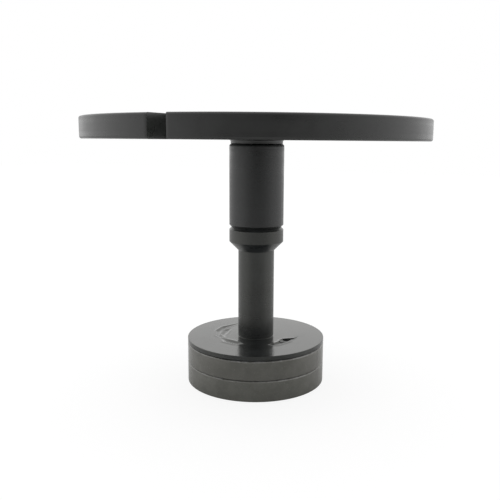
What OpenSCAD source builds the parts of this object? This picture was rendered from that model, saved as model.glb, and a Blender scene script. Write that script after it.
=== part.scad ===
// Pick-up nozzle of a surface-mount placement machine. A broad round reflector disc sits
// on a slim turned shank, and the flanged tip below it carries a stacked round suction pad.
// The nozzle stands on its pad with the vacuum way along +Z, and the disc's rim slot faces -Y.

/* [Disc] */
// Outer diameter of the reflector disc
disc_d = 48.2; // [36:0.1:60]
// Thickness of the disc
disc_t = 2.9; // [2:0.1:5]
// Chamfer on the upper and lower rim of the disc
disc_chamfer = 0.3; // [0.1:0.05:0.6]
// Diameter of the short hub turned on the underside of the disc
hub_d = 7.4; // [6.8:0.1:8]
// Height of the hub
hub_h = 0.5; // [0.4:0.05:2]
// Fillet where the hub grows out of the disc
hub_fillet = 0.35; // [0.1:0.05:0.4]

/* [Rim slot] */
// Width of the orientation slot in the rim
slot_w = 2.5; // [1.5:0.1:4]
// Depth of the slot, from the rim to the crown of its round end
slot_depth = 5; // [3:0.1:8]

/* [Shank sleeve] */
// Outer diameter of the sleeve and of the tip's collar
shank_d = 7.8; // [7.4:0.1:10]
// Length of the sleeve between the hub and the collar
sleeve_len = 11.8; // [11:0.1:25]
// Rounding of the sleeve's upper edge
sleeve_round = 0.4; // [0.1:0.05:0.5]
// Chamfers that meet as a V groove between the sleeve and the collar
joint_chamfer = 0.35; // [0.1:0.05:0.6]
// Diameter of the sleeve's neck inside the disc
neck_d = 5.6; // [5.4:0.1:6.2]
// Diameter of the socket in the top of the sleeve
socket_d = 4; // [3:0.1:4.6]
// Depth of that socket
socket_depth = 6; // [4:0.1:8]
// How far the neck's end lies under the disc's top face
neck_inset = 0.1; // [0.05:0.05:0.5]

/* [Tip] */
// Height of the collar, with its chamfer
collar_h = 2.1; // [1.2:0.1:4]
// Diameter of the stem
stem_d = 5.2; // [4.4:0.1:6.5]
// Length of the straight stem above the flange
stem_len = 12.8; // [6:0.1:30]
// Fillet where the stem meets the flange
stem_fillet = 0.1; // [0.05:0.05:0.5]
// Thickness of the flange
flange_t = 0.6; // [0.5:0.05:1.5]
// Diameter of the spigot that is pressed into the sleeve
spigot_d = 5.2; // [4.6:0.1:5.6]
// Length of that spigot
spigot_len = 4.5; // [2:0.1:4.8]
// Diameter of the vacuum bore
vacuum_d = 2.4; // [1:0.1:2.8]

/* [Suction pad] */
// Diameter of the flange, the pad holder and the pad
foot_d = 20; // [16:0.5:30]
// Height of the pad holder
holder_h = 2.8; // [1.5:0.1:5]
// Height of the rubber pad
pad_h = 3; // [2.6:0.1:5]
// Rounding of the upper edges of the holder and the pad
seam_round = 0.2; // [0.05:0.05:0.4]
// Height of the rebate that leaves a dark line above the holder and the pad
seam_gap = 0.1; // [0.05:0.05:0.3]
// How far that rebate runs in from the side
seam_depth = 0.6; // [0.3:0.1:2]
// Width of the pad's sealing lip
lip_w = 2; // [1:0.1:4]
// Depth of the recess inside the lip
recess_depth = 0.5; // [0.2:0.1:0.9]
// Diameter of the stud under the flange that centres the holder and the pad
stud_d = 5; // [4.4:0.1:7]
// How far the stud reaches into the pad
stud_in_pad = 1.4; // [0.6:0.1:1.5]
// Diameter of the hole through the pad's face
throat_d = 3; // [2:0.1:4]

/* [Fits] */
// Radial clearance of every pressed or bonded joint
fit_clearance = 0.02; // [0.01:0.01:0.05]
// Lead-in chamfer on the mouths and ends of the fitted pieces
lead_in = 0.3; // [0.1:0.05:0.4]

/* [Hidden] */
$fn = 160;
// Overshoot of every cutting shape
cut = 1;

disc_r = disc_d / 2;
hub_r = hub_d / 2;
neck_r = neck_d / 2;
shank_r = shank_d / 2;
stem_r = stem_d / 2;
spigot_r = spigot_d / 2;
socket_r = socket_d / 2;
vacuum_r = vacuum_d / 2;
foot_r = foot_d / 2;
stud_r = stud_d / 2;
throat_r = throat_d / 2;
// The cone under the collar falls at 45 degrees
cone_h = shank_r - stem_r;

// Levels, stacked up from the face that the pad stands on
holder_z = pad_h;
flange_z = holder_z + holder_h;
stem_z = flange_z + flange_t;
cone_z = stem_z + stem_len;
collar_z = cone_z + cone_h;
sleeve_z = collar_z + collar_h;
hub_z = sleeve_z + sleeve_len;
disc_z = hub_z + hub_h;
top_z = disc_z + disc_t;
neck_top_z = top_z - neck_inset;
stud_z = holder_z - stud_in_pad;

// Section that rounds a convex corner: the corner is at the origin, the piece in -X -Y
module corner_round(r) {
    difference() {
        translate([-r, -r]) square(r + cut);
        translate([-r, -r]) circle(r);
    }
}

// Section that fills a concave corner: the corner is at the origin, the fillet in +X -Y
module corner_fillet(r) {
    difference() {
        translate([0, -r]) square(r);
        translate([r, -r]) circle(r);
    }
}

// Outline of the slot in plan: straight from the rim to a round end
module slot_outline() {
    end_y = slot_depth - slot_w / 2 - disc_r;
    translate([0, end_y]) circle(d = slot_w);
    translate([-slot_w / 2, -disc_r - cut]) square([slot_w, end_y + disc_r + cut]);
}

// Half section of the disc and its hub, around the neck's bore
module disc_section() {
    bore_r = neck_r + fit_clearance;
    polygon([
        [bore_r, hub_z],
        [hub_r, hub_z],
        [hub_r, disc_z],
        [disc_r - disc_chamfer, disc_z],
        [disc_r, disc_z + disc_chamfer],
        [disc_r, top_z - disc_chamfer],
        [disc_r - disc_chamfer, top_z],
        [bore_r + lead_in, top_z],
        [bore_r, top_z - lead_in]
    ]);
    translate([hub_r, disc_z]) corner_fillet(hub_fillet);
}

module reflector_disc() {
    color([0.13, 0.13, 0.13])
    difference() {
        rotate_extrude() disc_section();
        translate([0, 0, hub_z - cut]) linear_extrude(top_z - hub_z + 2 * cut) slot_outline();
    }
}

// Half section of the sleeve: socket above, spigot seat below, vacuum bore between
module sleeve_section() {
    seat_r = spigot_r + fit_clearance;
    seat_top_z = sleeve_z + spigot_len + lead_in;
    socket_z = neck_top_z - socket_depth;
    difference() {
        polygon([
            [vacuum_r, seat_top_z],
            [seat_r, seat_top_z],
            [seat_r, sleeve_z],
            [shank_r - joint_chamfer, sleeve_z],
            [shank_r, sleeve_z + joint_chamfer],
            [shank_r, hub_z],
            [neck_r, hub_z],
            [neck_r, neck_top_z],
            [socket_r + lead_in, neck_top_z],
            [socket_r, neck_top_z - lead_in],
            [socket_r, socket_z],
            [vacuum_r, socket_z]
        ]);
        translate([shank_r, hub_z]) corner_round(sleeve_round);
    }
}

module shank_sleeve() {
    color([0.14, 0.14, 0.14])
    rotate_extrude() sleeve_section();
}

// Half section of the tip: stud, flange, stem, cone, collar and spigot round one bore
module tip_section() {
    spigot_top_z = sleeve_z + spigot_len;
    polygon([
        [vacuum_r, stud_z],
        [stud_r - lead_in, stud_z],
        [stud_r, stud_z + lead_in],
        [stud_r, flange_z],
        [foot_r, flange_z],
        [foot_r, stem_z],
        [stem_r, stem_z],
        [stem_r, cone_z],
        [shank_r, collar_z],
        [shank_r, sleeve_z - joint_chamfer],
        [shank_r - joint_chamfer, sleeve_z],
        [spigot_r, sleeve_z],
        [spigot_r, spigot_top_z - lead_in],
        [spigot_r - lead_in, spigot_top_z],
        [vacuum_r, spigot_top_z]
    ]);
    translate([stem_r, stem_z]) mirror([0, 1]) corner_fillet(stem_fillet);
}

module nozzle_tip() {
    color([0.16, 0.16, 0.16])
    rotate_extrude() tip_section();
}

// A flat ring of the pad's stack, with a rebate above and its edge rounded under the rebate
module stack_ring_section(z, h, hole_r) {
    rebate_z = z + h - seam_gap;
    difference() {
        translate([hole_r, z]) square([foot_r - hole_r, h]);
        translate([foot_r - seam_depth, rebate_z]) square([seam_depth + cut, seam_gap + cut]);
        translate([foot_r, rebate_z]) corner_round(seam_round);
    }
}

module pad_holder() {
    color([0.22, 0.22, 0.21])
    rotate_extrude() stack_ring_section(holder_z, holder_h, stud_r + fit_clearance);
}

// The pad has a seat for the stud above, and a lip round a shallow recess below
module suction_pad() {
    seat_r = stud_r + fit_clearance;
    color([0.2, 0.2, 0.19])
    rotate_extrude() difference() {
        stack_ring_section(0, pad_h, throat_r);
        translate([throat_r - cut, stud_z - fit_clearance]) square([seat_r - throat_r + cut, pad_h]);
        translate([throat_r - cut, -cut]) square([foot_r - lip_w - throat_r + cut, recess_depth + cut]);
    }
}

reflector_disc();
shank_sleeve();
nozzle_tip();
pad_holder();
suction_pad();
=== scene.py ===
import math

import bpy
import numpy as np
from mathutils import Matrix, Vector


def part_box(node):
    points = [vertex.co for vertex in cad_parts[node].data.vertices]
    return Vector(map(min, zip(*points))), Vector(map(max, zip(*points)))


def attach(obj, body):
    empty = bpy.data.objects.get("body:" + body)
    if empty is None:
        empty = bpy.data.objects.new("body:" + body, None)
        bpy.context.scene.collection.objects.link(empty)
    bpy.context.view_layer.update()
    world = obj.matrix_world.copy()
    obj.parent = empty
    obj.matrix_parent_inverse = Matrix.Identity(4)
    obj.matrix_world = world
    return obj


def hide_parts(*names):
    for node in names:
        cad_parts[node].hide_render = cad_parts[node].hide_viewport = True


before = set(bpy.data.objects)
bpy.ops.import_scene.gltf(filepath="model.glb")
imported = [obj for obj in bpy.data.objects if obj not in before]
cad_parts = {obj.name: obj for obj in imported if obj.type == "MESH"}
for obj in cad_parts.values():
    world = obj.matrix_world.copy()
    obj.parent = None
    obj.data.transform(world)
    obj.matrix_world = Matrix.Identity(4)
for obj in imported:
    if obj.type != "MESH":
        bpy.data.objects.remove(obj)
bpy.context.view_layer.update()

MM = 0.001

# The camera stands level with the disc's underside and looks a little down, turned from the
# slot's side of the nozzle. Lengths are in metres and angles in degrees.
CAMERA_AZIMUTH = 26.8
CAMERA_DISTANCE = 91.8 * MM
CAMERA_HEIGHT = 34.9 * MM
CAMERA_PITCH = -9.73
CAMERA_PAN = -1.02
CAMERA_ROLL = 0.5
CAMERA_SHIFT = -0.035
SENSOR_WIDTH = 36.0
FOCAL_LENGTH = 46.13

# The room is dark where the photographer stands, a little below the horizon, and rises to white
# away from there. Strengths are those of the world's background.
DARK_SIDE_DROP = 6.0
DARK_SIDE_AZIMUTH = 31
DARK_LIGHT = 0.02
LIGHT_RISE = 0.87

# The floor is white paper. Its mirror image is darker on the dark side, and the camera sees it
# partly glowing, so that it stays near white and still keeps the shadow.
FLOOR_HALF = 0.6
FLOOR_WHITE = 0.9
FLOOR_DARK_SHARE = 0.55
FLOOR_SEEN_WHITE = 0.24
FLOOR_SEEN_GLOW = 0.83

# Sizes of the turned tip that its neighbours' boxes don't give
VACUUM_R = 1.2 * MM
STEM_R = 2.6 * MM
SHANK_R = 3.9 * MM
SPIGOT_R = 2.6 * MM
STUD_R = 2.5 * MM
STEM_LENGTH = 12.8 * MM
FLANGE_T = 0.6 * MM
JOINT_CHAMFER = 0.35 * MM
LEAD_IN = 0.3 * MM
STEM_FILLET = 0.05 * MM

# Sizes of the disc, whose rim is rounded and whose slot has softened edges at its mouth. Edges
# over the sharp angle, in degrees, stay sharp after the slot is cut.
DISC_T = 2.9 * MM
BORE_R = 2.82 * MM
HUB_R = 3.7 * MM
HUB_FILLET = 0.35 * MM
RIM_ROUND = 0.3 * MM
SLOT_W = 2.5 * MM
SLOT_DEPTH = 5 * MM
SLOT_ROUND = 0.1 * MM
SLOT_STEPS = 32
SHARP_ANGLE = 40

# Every turned edge is broken a little, and support rings keep the faces beside it flat
EDGE_BREAK = 0.06 * MM
SUPPORT = 0.03 * MM
ARC_STEPS = 6
SEGMENTS = 360
FACE_STEP = 0.075 * MM

# Scrapes on top of the flange, each a run of points: azimuth in degrees from the slot, then
# radius, half width and depth in millimetres
SCRAPES = [
    [(-46, 5.3, 0.14, 0.03), (-58, 5.6, 0.25, 0.11), (-80, 5.9, 0.27, 0.13), (-100, 6.1, 0.27, 0.12),
     (-124, 6.15, 0.2, 0.04), (-134, 6.15, 0.16, 0.01)],
    [(-50, 4.6, 0.14, 0.02), (-64, 4.75, 0.28, 0.11), (-88, 4.8, 0.28, 0.11), (-100, 4.8, 0.16, 0.02)],
    [(-40, 5.2, 0.22, 0.03), (-26, 5.15, 0.42, 0.14), (-8, 5.0, 0.42, 0.14), (8, 4.9, 0.22, 0.03)],
    [(46, 5.2, 0.16, 0.03), (58, 5.4, 0.36, 0.16), (84, 5.45, 0.34, 0.16), (92, 5.4, 0.16, 0.03)],
    [(78, 4.7, 0.24, 0.12), (84, 4.9, 0.30, 0.25), (90, 5.3, 0.27, 0.23), (98, 5.9, 0.15, 0.11),
     (108, 6.4, 0.07, 0.02)],
]
SCRAPE_LIP = 0.35

# Turned metal: the tool rings, the rubbed edges, and painted light on the slot's walls, which start at
# that radius and are painted that many times lighter, to lift the shade inside the slot
RING_SIZE = 0.09 * MM
RING_BUMP = 0.0002 * MM
METAL_PATCH = 3.2 * MM
WEAR_WIDTH = 0.12 * MM
SLOT_START = 19.0 * MM
PAINTED_SLOT_LIGHT_SHARE = 3.0
ANISOTROPIC = 0.35

# Moulded black: its patches and dust, a warm sheen, and the shoulder under each seam, outside
# that radius, which carries a painted highlight in patches
MOULDED_PATCH = 1.8 * MM
DUST_SIZE = 0.11 * MM
WARM = (1.0, 0.97, 0.9)
SHOULDER_R = 9.75 * MM
SHOULDER_PATCH = 1.4 * MM
SHOULDER_HIGHLIGHT_GREY = 0.22


def make_camera():
    """The camera at the photograph's viewing angle."""
    turn = Matrix.Rotation(math.radians(CAMERA_AZIMUTH), 4, "Z")
    place = Matrix.Translation((0, -CAMERA_DISTANCE, CAMERA_HEIGHT))
    pan = Matrix.Rotation(math.radians(CAMERA_PAN), 4, "Z")
    level = Matrix.Rotation(math.radians(90 + CAMERA_PITCH), 4, "X")
    roll = Matrix.Rotation(math.radians(CAMERA_ROLL), 4, "Z")
    data = bpy.data.cameras.new("camera")
    data.sensor_width = SENSOR_WIDTH
    data.lens = FOCAL_LENGTH
    data.shift_x = CAMERA_SHIFT
    data.clip_start = 1 * MM
    data.clip_end = 10
    camera = bpy.data.objects.new("camera", data)
    camera.matrix_world = turn @ place @ pan @ level @ roll
    bpy.context.scene.collection.objects.link(camera)
    bpy.context.scene.camera = camera


make_camera()


class Nodes:
    """A short way to build a node tree: each call adds a node and links its inputs."""

    def __init__(self, tree):
        self.tree = tree
        tree.nodes.clear()

    def add(self, kind, inputs=None, **settings):
        node = self.tree.nodes.new(kind)
        for name, value in settings.items():
            setattr(node, name, value)
        for key, value in (inputs or {}).items():
            socket = node.inputs[key]
            if isinstance(value, bpy.types.NodeSocket):
                self.tree.links.new(value, socket)
            else:
                socket.default_value = value
        return node

    def math(self, operation, a, b=0.0, c=0.0):
        node = self.add("ShaderNodeMath", {0: a, 1: b, 2: c}, operation=operation)
        return node.outputs[0]

    def noise(self, vector, size, detail=2.0):
        """Noise from 0 to 1 whose patches are about as large as size, in metres."""
        inputs = {"Vector": vector, "Scale": 1 / size, "Detail": detail, "Roughness": 0.55}
        return self.add("ShaderNodeTexNoise", inputs).outputs[0]

    def radius(self, axes):
        """Distance from the Z axis, from a node that separates X, Y and Z."""
        flat = self.add("ShaderNodeCombineXYZ", {0: axes.outputs[0], 1: axes.outputs[1]})
        return self.add("ShaderNodeVectorMath", {0: flat.outputs[0]}, operation="LENGTH").outputs["Value"]

    def remap(self, value, low, high, to_low, to_high):
        inputs = {"Value": value, "From Min": low, "From Max": high, "To Min": to_low, "To Max": to_high}
        return self.add("ShaderNodeMapRange", inputs, interpolation_type="SMOOTHSTEP").outputs[0]

    def blend_colour(self, factor, low, high):
        node = self.add("ShaderNodeMix", data_type="RGBA")
        factor_socket = next(s for s in node.inputs if s.name == "Factor" and s.type == "VALUE")
        colours = [s for s in node.inputs if s.type == "RGBA"]
        self.tree.links.new(factor, factor_socket)
        for socket, value in zip(colours, (low, high)):
            if isinstance(value, bpy.types.NodeSocket):
                self.tree.links.new(value, socket)
            else:
                socket.default_value = value
        return next(s for s in node.outputs if s.type == "RGBA")


def grey(value):
    return (value, value, value, 1.0)


def make_world():
    """A white studio round the nozzle, dark only on the side that the camera stands on."""
    world = bpy.data.worlds.new("studio")
    world.use_nodes = True
    bpy.context.scene.world = world
    n = Nodes(world.node_tree)
    turn = math.radians(DARK_SIDE_AZIMUTH)
    drop = math.tan(math.radians(DARK_SIDE_DROP))
    dark_side = Vector((math.sin(turn), -math.cos(turn), -drop)).normalized()
    coords = n.add("ShaderNodeTexCoord").outputs["Generated"]
    facing = n.add("ShaderNodeVectorMath", {0: coords, 1: dark_side}, operation="DOT_PRODUCT")
    away = n.math("SQRT", n.math("SUBTRACT", 1.0, facing.outputs["Value"]))
    room = n.math("MULTIPLY_ADD", away, LIGHT_RISE, DARK_LIGHT)
    light = n.add("ShaderNodeBackground", {"Color": grey(1.0), "Strength": room})
    white = n.add("ShaderNodeBackground", {"Color": grey(1.0), "Strength": 1.0})
    seen = n.add("ShaderNodeLightPath").outputs["Is Camera Ray"]
    mix = n.add("ShaderNodeMixShader", {0: seen, 1: light.outputs[0], 2: white.outputs[0]})
    n.add("ShaderNodeOutputWorld", {"Surface": mix.outputs[0]})


make_world()


def make_floor():
    """A plain pale floor that keeps the nozzle's shadow."""
    mesh = bpy.data.meshes.new("floor")
    h = FLOOR_HALF
    mesh.from_pydata([(-h, -h, 0), (h, -h, 0), (h, h, 0), (-h, h, 0)], [], [(0, 1, 2, 3)])
    floor = bpy.data.objects.new("floor", mesh)
    bpy.context.scene.collection.objects.link(floor)
    material = bpy.data.materials.new("floor")
    material.use_nodes = True
    n = Nodes(material.node_tree)
    turn = math.radians(DARK_SIDE_AZIMUTH)
    place = n.add("ShaderNodeTexCoord").outputs["Object"]
    outward = n.add("ShaderNodeVectorMath", {0: place}, operation="NORMALIZE").outputs[0]
    dark_side = (math.sin(turn), -math.cos(turn), 0.0)
    facing = n.add("ShaderNodeVectorMath", {0: outward, 1: dark_side}, operation="DOT_PRODUCT")
    share = n.remap(facing.outputs["Value"], 0.3, 0.98, 1.0, FLOOR_DARK_SHARE)
    mirrored = n.blend_colour(share, grey(0.0), grey(FLOOR_WHITE))
    glossy = n.add("ShaderNodeLightPath").outputs["Is Glossy Ray"]
    paper_colour = n.blend_colour(glossy, grey(FLOOR_WHITE), mirrored)
    paper = n.add("ShaderNodeBsdfDiffuse", {"Color": paper_colour})
    seen_paper = n.add("ShaderNodeBsdfDiffuse", {"Color": grey(FLOOR_SEEN_WHITE)})
    glow = n.add("ShaderNodeEmission", {"Color": grey(1.0), "Strength": FLOOR_SEEN_GLOW})
    seen_floor = n.add("ShaderNodeAddShader", {0: seen_paper.outputs[0], 1: glow.outputs[0]})
    seen = n.add("ShaderNodeLightPath").outputs["Is Camera Ray"]
    mix = n.add("ShaderNodeMixShader", {0: seen, 1: paper.outputs[0], 2: seen_floor.outputs[0]})
    n.add("ShaderNodeOutputMaterial", {"Surface": mix.outputs[0]})
    mesh.materials.append(material)


make_floor()


def turned_metal(name, colour, roughness, ior, tint=(1.0, 1.0, 1.0), smooth_top=0.0, smooth_roughness=0.0):
    """Blackened turned metal: fine tool rings, satin patches, and edges rubbed a little lighter.
    Below smooth_top the piece has the smooth roughness, as the tip's flange does."""
    material = bpy.data.materials.new(name)
    material.use_nodes = True
    n = Nodes(material.node_tree)
    place = n.add("ShaderNodeTexCoord").outputs["Object"]
    axes = n.add("ShaderNodeSeparateXYZ", {0: place})
    radius = n.radius(axes)
    profile = n.add("ShaderNodeCombineXYZ", {0: radius, 1: axes.outputs[2]}).outputs[0]
    rings = n.noise(profile, RING_SIZE, 3.0)
    bands = n.noise(profile, 9 * RING_SIZE, 1.0)
    patches = n.noise(place, METAL_PATCH, 3.0)
    grain = n.noise(place, 0.05 * MM, 1.0)

    # Roughness wanders with the tool rings and with handling
    base = n.remap(axes.outputs[2], smooth_top, smooth_top + 0.05 * MM, smooth_roughness, roughness)
    rough = n.math("ADD", base, n.remap(rings, 0.3, 0.7, -0.02, 0.02))
    rough = n.math("ADD", rough, n.remap(patches, 0.3, 0.7, -0.03, 0.03))
    rough = n.math("ADD", rough, n.remap(bands, 0.3, 0.7, -0.02, 0.02))

    # Rubbed edges, found where a rounded normal leaves the true one, but not at the stem's foot
    true_normal = n.add("ShaderNodeNewGeometry").outputs["Normal"]
    round_normal = n.add("ShaderNodeBevel", {"Radius": WEAR_WIDTH}, samples=4).outputs[0]
    match = n.add("ShaderNodeVectorMath", {0: true_normal, 1: round_normal}, operation="DOT_PRODUCT")
    edge = n.remap(match.outputs["Value"], 0.995, 0.9, 0.0, 1.0)
    wear = n.math("MULTIPLY", edge, n.remap(patches, 0.42, 0.62, 0.1, 0.7))
    wear = n.math("MULTIPLY", wear, n.remap(radius, STEM_R + 0.1 * MM, STEM_R + 0.3 * MM, 0.0, 1.0))

    dark = tuple(0.75 * c for c in colour) + (1.0,)
    light = tuple(1.3 * c for c in colour) + (1.0,)
    rubbed = tuple(3.5 * c + 0.01 for c in colour) + (1.0,)
    body = n.blend_colour(n.remap(patches, 0.3, 0.7, 0.0, 1.0), dark, light)
    finish = n.blend_colour(wear, body, rubbed)

    # Painted light: the walls of the rim slot are painted a little lighter than the turned faces, lifting
    # the shade inside the slot
    aside = n.math("ABSOLUTE", axes.outputs[0])
    across = n.remap(aside, 0.5 * SLOT_W + 0.01 * MM, 0.5 * SLOT_W + 0.05 * MM, 1.0, 0.0)
    inside = n.remap(axes.outputs[1], -SLOT_START, -SLOT_START + 0.1 * MM, 1.0, 0.0)
    painted_slot_light = tuple(PAINTED_SLOT_LIGHT_SHARE * c for c in colour) + (1.0,)
    finish = n.blend_colour(n.math("MULTIPLY", across, inside), finish, painted_slot_light)

    height = n.math("ADD", n.math("MULTIPLY", rings, RING_BUMP), n.math("MULTIPLY", grain, 0.3 * RING_BUMP))
    bump = n.add("ShaderNodeBump", {"Height": height, "Strength": 1.0, "Distance": 1.0})
    tangent = n.add("ShaderNodeTangent", direction_type="RADIAL", axis="Z")
    shader = n.add("ShaderNodeBsdfPrincipled", {"Base Color": finish, "Roughness": rough, "IOR": ior,
                                                "Specular Tint": tint + (1.0,),
                                                "Anisotropic": ANISOTROPIC, "Normal": bump.outputs[0],
                                                "Tangent": tangent.outputs[0]})
    n.add("ShaderNodeOutputMaterial", {"Surface": shader.outputs[0]})
    return material


def moulded_black(name, colour, roughness, ior, grain_size, grain_bump):
    """Moulded or ground black plastic and rubber: an even grain, faint smears and specks of dust."""
    material = bpy.data.materials.new(name)
    material.use_nodes = True
    n = Nodes(material.node_tree)
    place = n.add("ShaderNodeTexCoord").outputs["Object"]
    patches = n.noise(place, MOULDED_PATCH, 4.0)
    grain = n.noise(place, grain_size, 2.0)
    dust = n.remap(n.noise(place, DUST_SIZE, 0.0), 0.74, 0.8, 0.0, 1.0)

    rough = n.math("ADD", n.remap(patches, 0.3, 0.7, roughness - 0.06, roughness + 0.06),
                   n.remap(grain, 0.3, 0.7, -0.03, 0.03))
    dark = tuple(0.9 * c for c in colour) + (1.0,)
    light = tuple(1.1 * c for c in colour) + (1.0,)
    dusty = tuple(1.8 * c + 0.02 for c in colour) + (1.0,)
    body = n.blend_colour(n.remap(patches, 0.3, 0.7, 0.0, 1.0), dark, light)
    finish = n.blend_colour(n.math("MULTIPLY", dust, 0.5), body, dusty)

    # Painted highlight: where the rounded shoulder under each seam faces up, it is painted lighter in
    # patches
    axes = n.add("ShaderNodeSeparateXYZ", {0: place})
    radius = n.radius(axes)
    facing = n.add("ShaderNodeNewGeometry").outputs["Normal"]
    upward = n.add("ShaderNodeSeparateXYZ", {0: facing}).outputs[2]
    shoulder = n.math("MULTIPLY", n.remap(upward, 0.1, 0.6, 0.0, 1.0),
                      n.remap(radius, SHOULDER_R - 0.05 * MM, SHOULDER_R + 0.05 * MM, 0.0, 1.0))
    highlight_here = n.remap(n.noise(place, SHOULDER_PATCH, 3.0), 0.42, 0.6, 0.15, 1.0)
    finish = n.blend_colour(n.math("MULTIPLY", shoulder, highlight_here), finish, grey(SHOULDER_HIGHLIGHT_GREY))
    bump = n.add("ShaderNodeBump", {"Height": n.math("MULTIPLY", grain, grain_bump), "Strength": 1.0,
                                    "Distance": 1.0})
    shader = n.add("ShaderNodeBsdfPrincipled", {"Base Color": finish, "Roughness": rough, "IOR": ior,
                                                "Specular Tint": WARM + (1.0,),
                                                "Normal": bump.outputs[0]})
    n.add("ShaderNodeOutputMaterial", {"Surface": shader.outputs[0]})
    return material


def rounded_corner(before, here, after, rounding):
    """The points that round one corner of an outline, with a support point on each side."""
    back = (before - here).normalized()
    on = (after - here).normalized()
    half = back.angle(on) / 2
    room = 0.45 * min((before - here).length, (after - here).length)
    reach = min(rounding / math.tan(half), room)
    radius = reach * math.tan(half)
    points = [here + back * min(reach + SUPPORT, room)]
    centre = here + (back + on).normalized() * math.hypot(reach, radius)
    start = here + back * reach - centre
    end = here + on * reach - centre
    sweep = math.pi - 2 * half
    for i in range(ARC_STEPS + 1):
        t = i / ARC_STEPS
        spoke = start * math.sin((1 - t) * sweep) + end * math.sin(t * sweep)
        points.append(centre + spoke / math.sin(sweep))
    points.append(here + on * min(reach + SUPPORT, room))
    return points


def rounded_outline(corners):
    """A closed outline of (radius, height) from corners of (radius, height, rounding)."""
    places = [Vector((r, z)) for r, z, _ in corners]
    points = []
    for i, (_, _, rounding) in enumerate(corners):
        points += rounded_corner(places[i - 1], places[i], places[(i + 1) % len(places)], rounding)
    return points


def with_rings(points, height, step):
    """The outline with extra points along its level run at that height, a step apart."""
    finer = []
    for here, after in zip(points, points[1:] + points[:1]):
        finer.append(here)
        count = int(abs(after.x - here.x) / step)
        if abs(here.y - height) < 1e-7 and abs(after.y - height) < 1e-7 and count > 1:
            finer += [here.lerp(after, i / count) for i in range(1, count)]
    return finer


def turned_mesh(name, outline):
    """A closed mesh of the outline turned round Z."""
    turns = np.linspace(0, 2 * math.pi, SEGMENTS, endpoint=False)
    radius = np.array([p.x for p in outline])[:, None]
    height = np.array([p.y for p in outline])[:, None]
    x = radius * np.sin(turns)
    y = -radius * np.cos(turns)
    z = height + 0 * turns
    verts = np.stack([x, y, z], axis=2).reshape(-1, 3)
    rows = len(outline)
    faces = []
    for i in range(rows):
        near = i * SEGMENTS
        far = (i + 1) % rows * SEGMENTS
        for j in range(SEGMENTS):
            k = (j + 1) % SEGMENTS
            faces.append((near + j, near + k, far + k, far + j))
    mesh = bpy.data.meshes.new(name)
    mesh.from_pydata(verts.tolist(), [], faces)
    mesh.shade_smooth()
    piece = bpy.data.objects.new(name, mesh)
    bpy.context.scene.collection.objects.link(piece)
    return piece


def scrape_path(scrape):
    """The scrape's points as rows of x, y, half width and depth, in metres."""
    rows = []
    for azimuth, radius, width, depth in scrape:
        turn = math.radians(azimuth)
        rows.append((radius * math.sin(turn), -radius * math.cos(turn), width, depth))
    return MM * np.array(rows)


def scrape_relief(x, y, scrape):
    """How far the flange's top lies above its plane because of one scrape: a groove with low lips."""
    path = scrape_path(scrape)
    nearest = np.full(x.shape, np.inf)
    relief = np.zeros(x.shape)
    for a, b in zip(path, path[1:]):
        along = b[:2] - a[:2]
        share = ((x - a[0]) * along[0] + (y - a[1]) * along[1]) / (along @ along)
        share = np.clip(share, 0, 1)
        gap = np.hypot(x - a[0] - share * along[0], y - a[1] - share * along[1])
        width = a[2] + share * (b[2] - a[2])
        depth = a[3] + share * (b[3] - a[3])
        groove = np.exp(-((gap / width) ** 2))
        lip = SCRAPE_LIP * np.exp(-(((gap - 1.7 * width) / (0.6 * width)) ** 2))
        closer = gap < nearest
        relief = np.where(closer, depth * (lip - groove), relief)
        nearest = np.minimum(gap, nearest)
    return relief


def make_tip():
    """The turned tip with broken edges and the scrapes on its flange."""
    foot_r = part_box("pad_holder")[1].x
    stud_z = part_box("nozzle_tip")[0].z
    spigot_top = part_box("nozzle_tip")[1].z
    flange_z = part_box("pad_holder")[1].z
    sleeve_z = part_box("shank_sleeve")[0].z
    stem_z = flange_z + FLANGE_T
    cone_z = stem_z + STEM_LENGTH
    collar_z = cone_z + SHANK_R - STEM_R
    outline = rounded_outline([
        (VACUUM_R, stud_z, EDGE_BREAK),
        (STUD_R - LEAD_IN, stud_z, 0.5 * EDGE_BREAK),
        (STUD_R, stud_z + LEAD_IN, 0.5 * EDGE_BREAK),
        (STUD_R, flange_z, EDGE_BREAK),
        (foot_r, flange_z, EDGE_BREAK),
        (foot_r, stem_z, EDGE_BREAK),
        (STEM_R, stem_z, STEM_FILLET),
        (STEM_R, cone_z, EDGE_BREAK),
        (SHANK_R, collar_z, EDGE_BREAK),
        (SHANK_R, sleeve_z - JOINT_CHAMFER, EDGE_BREAK),
        (SHANK_R - JOINT_CHAMFER, sleeve_z, 0.5 * EDGE_BREAK),
        (SPIGOT_R, sleeve_z, EDGE_BREAK),
        (SPIGOT_R, spigot_top - LEAD_IN, 0.5 * EDGE_BREAK),
        (SPIGOT_R - LEAD_IN, spigot_top, 0.5 * EDGE_BREAK),
        (VACUUM_R, spigot_top, EDGE_BREAK),
    ])
    tip = turned_mesh("scraped_tip", with_rings(outline, stem_z, FACE_STEP))
    verts = np.empty(3 * len(tip.data.vertices))
    tip.data.vertices.foreach_get("co", verts)
    verts = verts.reshape(-1, 3)
    radius = np.hypot(verts[:, 0], verts[:, 1])
    on_face = (abs(verts[:, 2] - stem_z) < 0.1 * EDGE_BREAK) & (radius > STEM_R) & (radius < foot_r)
    for scrape in SCRAPES:
        verts[on_face, 2] += scrape_relief(verts[on_face, 0], verts[on_face, 1], scrape)
    tip.data.vertices.foreach_set("co", verts.ravel())
    tip.data.update()
    return tip


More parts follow.
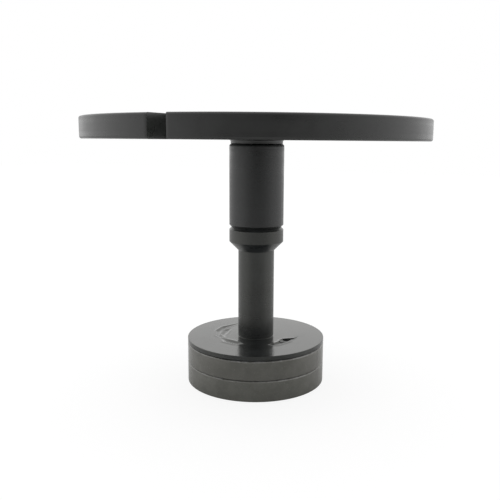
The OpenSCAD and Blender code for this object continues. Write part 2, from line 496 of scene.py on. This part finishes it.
def slot_cutter(disc_r, low_z, high_z):
    """A closed prism with the slot's outline in plan, flared at the mouth to round its edges."""
    half_w = 0.5 * SLOT_W
    end_y = SLOT_DEPTH - half_w - disc_r
    mouth_y = -math.sqrt(disc_r ** 2 - half_w ** 2)
    right = [(half_w + SLOT_ROUND, -1.1 * disc_r)]
    for i in range(ARC_STEPS + 1):
        turn = 0.5 * math.pi * i / ARC_STEPS
        x = half_w + SLOT_ROUND * (1 - math.sin(turn))
        right.append((x, mouth_y + SLOT_ROUND * (1 - math.cos(turn))))
    end = []
    for i in range(SLOT_STEPS + 1):
        turn = math.pi * i / SLOT_STEPS
        end.append((half_w * math.cos(turn), end_y + half_w * math.sin(turn)))
    plan = right + end + [(-x, y) for x, y in reversed(right)]
    count = len(plan)
    verts = [(x, y, low_z) for x, y in plan] + [(x, y, high_z) for x, y in plan]
    faces = [tuple(reversed(range(count))), tuple(range(count, 2 * count))]
    faces += [(i, (i + 1) % count, count + (i + 1) % count, count + i) for i in range(count)]
    mesh = bpy.data.meshes.new("slot_cutter")
    mesh.from_pydata(verts, [], faces)
    cutter = bpy.data.objects.new("slot_cutter", mesh)
    bpy.context.scene.collection.objects.link(cutter)
    return cutter


def make_disc():
    """The turned disc with a rounded rim, broken edges and the milled slot."""
    low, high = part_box("reflector_disc")
    disc_r = high.x
    disc_z = high.z - DISC_T
    outline = rounded_outline([
        (BORE_R, low.z, EDGE_BREAK),
        (HUB_R, low.z, EDGE_BREAK),
        (HUB_R, disc_z, HUB_FILLET),
        (disc_r, disc_z, RIM_ROUND),
        (disc_r, high.z, RIM_ROUND),
        (BORE_R + LEAD_IN, high.z, 0.5 * EDGE_BREAK),
        (BORE_R, high.z - LEAD_IN, 0.5 * EDGE_BREAK),
    ])
    disc = turned_mesh("rounded_disc", outline)
    cutter = slot_cutter(disc_r, low.z - 1 * MM, high.z + 1 * MM)
    cut = disc.modifiers.new("slot", "BOOLEAN")
    cut.operation = "DIFFERENCE"
    cut.solver = "EXACT"
    cut.object = cutter
    whole = disc.evaluated_get(bpy.context.evaluated_depsgraph_get())
    slotted = bpy.data.meshes.new_from_object(whole)
    disc.modifiers.clear()
    disc.data = slotted
    bpy.data.objects.remove(cutter)
    slotted.shade_smooth()
    slotted.set_sharp_from_angle(angle=math.radians(SHARP_ANGLE))
    return disc


tip = make_tip()
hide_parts("nozzle_tip")
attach(tip, "root")

disc = make_disc()
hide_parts("reflector_disc")
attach(disc, "root")

FLANGE_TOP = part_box("pad_holder")[1].z + FLANGE_T
DISC_BLACK = turned_metal("disc_black", (0.0105, 0.0112, 0.0105), 0.3, 1.7)
SLEEVE_BLACK = turned_metal("sleeve_black", (0.0095, 0.0108, 0.0105), 0.3, 1.65)
TIP_BLACK = turned_metal("tip_black", (0.0185, 0.0205, 0.0215), 0.3, 1.7, tint=(1.0, 1.0, 0.93),
                         smooth_top=FLANGE_TOP + 0.1 * MM, smooth_roughness=0.18)
HOLDER_BLACK = moulded_black("holder_black", (0.1, 0.101, 0.091), 0.15, 1.9, 0.07 * MM, 0.0006 * MM)
PAD_BLACK = moulded_black("pad_black", (0.116, 0.118, 0.106), 0.18, 1.9, 0.1 * MM, 0.001 * MM)
LOOKS = {
    disc: DISC_BLACK,
    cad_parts["shank_sleeve"]: SLEEVE_BLACK,
    tip: TIP_BLACK,
    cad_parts["pad_holder"]: HOLDER_BLACK,
    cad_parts["suction_pad"]: PAD_BLACK,
}
for piece, material in LOOKS.items():
    piece.data.materials.clear()
    piece.data.materials.append(material)


bpy.context.scene.view_settings.view_transform = "Standard"
